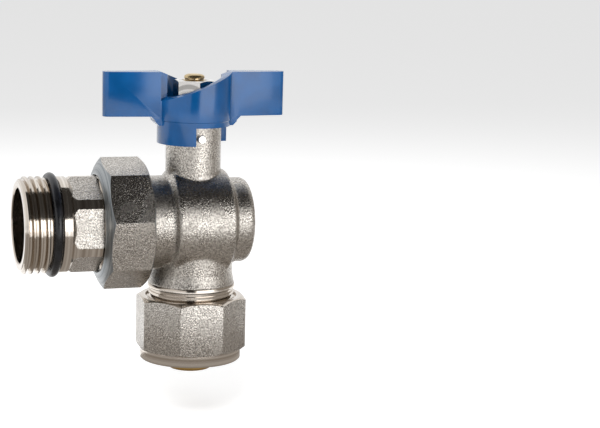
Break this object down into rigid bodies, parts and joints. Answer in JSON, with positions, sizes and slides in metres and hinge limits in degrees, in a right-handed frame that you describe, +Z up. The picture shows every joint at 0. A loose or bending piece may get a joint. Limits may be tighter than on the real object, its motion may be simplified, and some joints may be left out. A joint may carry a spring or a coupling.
{
  "type": "angle ball valve with union tail and compression end",
  "caption": "Angle ball valve: blue wing handle on top, union nut with threaded manifold tail at one side, compression nut for multilayer pipe below.",
  "frame": {"origin": "centre of the tail's end face, on the outlet axis", "axes": "+X along the outlet axis from the tail into the body, +Z up the stem to the handle, the stop pin faces -Y"},
  "size_m": [0.0928, 0.0446, 0.1041],
  "materials": {
    "nickel_cast": "nickel-plated hot-forged brass, blasted, with its orange-peel skin left on",
    "nickel_turned": "nickel-plated turned brass, polished",
    "brass_turned": "turned yellow brass, bright",
    "ball_chrome": "hard chromed and polished",
    "ptfe": "white PTFE",
    "rubber_black": "black EPDM, smooth",
    "gasket_fibre": "green aramid fibre sheet",
    "handle_blue": "blue gloss enamel on die-cast metal",
    "zinc_steel": "bright zinc-plated steel",
    "insulator_plastic": "white moulded plastic"
  },
  "bodies": {
    "valve": {"valve_body": "nickel_cast", "outlet_seat": "ptfe", "rear_seat": "ptfe", "seat_retainer": "brass_turned", "thrust_washer": "ptfe", "packing_ring": "ptfe", "gland_nut": "brass_turned", "stop_pin": "nickel_turned", "pipe_insert": "brass_turned", "insert_seat_o_ring": "rubber_black", "insert_o_rings": "rubber_black", "insulating_ring": "insulator_plastic"},
    "handle_and_ball": {"handle": "handle_blue", "stem": "brass_turned", "ball": "ball_chrome", "stem_o_rings": "rubber_black", "lock_washer": "zinc_steel", "handle_nut": "zinc_steel"},
    "tail": {"tailpiece": "nickel_turned", "tail_o_ring": "rubber_black", "union_gasket": "gasket_fibre"},
    "union_nut": {"union_nut": "nickel_turned"},
    "ring": {"compression_ring": "brass_turned"},
    "compression_nut": {"compression_nut": "nickel_turned"}
  },
  "joints": [
    {"name": "handle_turn", "type": "hinge", "parent": "valve", "child": "handle_and_ball", "pos_m": [0.06079, 0, 0.045], "axis": [0, 0, -1], "range_deg": [0, 90]},
    {"name": "tail_release", "type": "slide", "parent": "valve", "child": "tail", "axis": [-1, 0, 0], "range_m": [0, 0.0079]},
    {"name": "union_nut_spin", "type": "hinge", "parent": "tail", "child": "union_nut", "pos_m": [0.035, 0, 0], "axis": [-1, 0, 0], "range_deg": [0, 1900]},
    {"name": "ring_release", "type": "slide", "parent": "valve", "child": "ring", "axis": [0, 0, -1], "range_m": [0, 0.0113]},
    {"name": "compression_nut_spin", "type": "hinge", "parent": "ring", "child": "compression_nut", "pos_m": [0.06079, 0, -0.037], "axis": [0, 0, -1], "range_deg": [0, 2715]}
  ],
  "couplings": [
    {"joint": "union_nut_spin", "follows": "tail_release", "rad_per_m": 4188.8},
    {"joint": "compression_nut_spin", "follows": "ring_release", "rad_per_m": 4188.8}
  ]
}
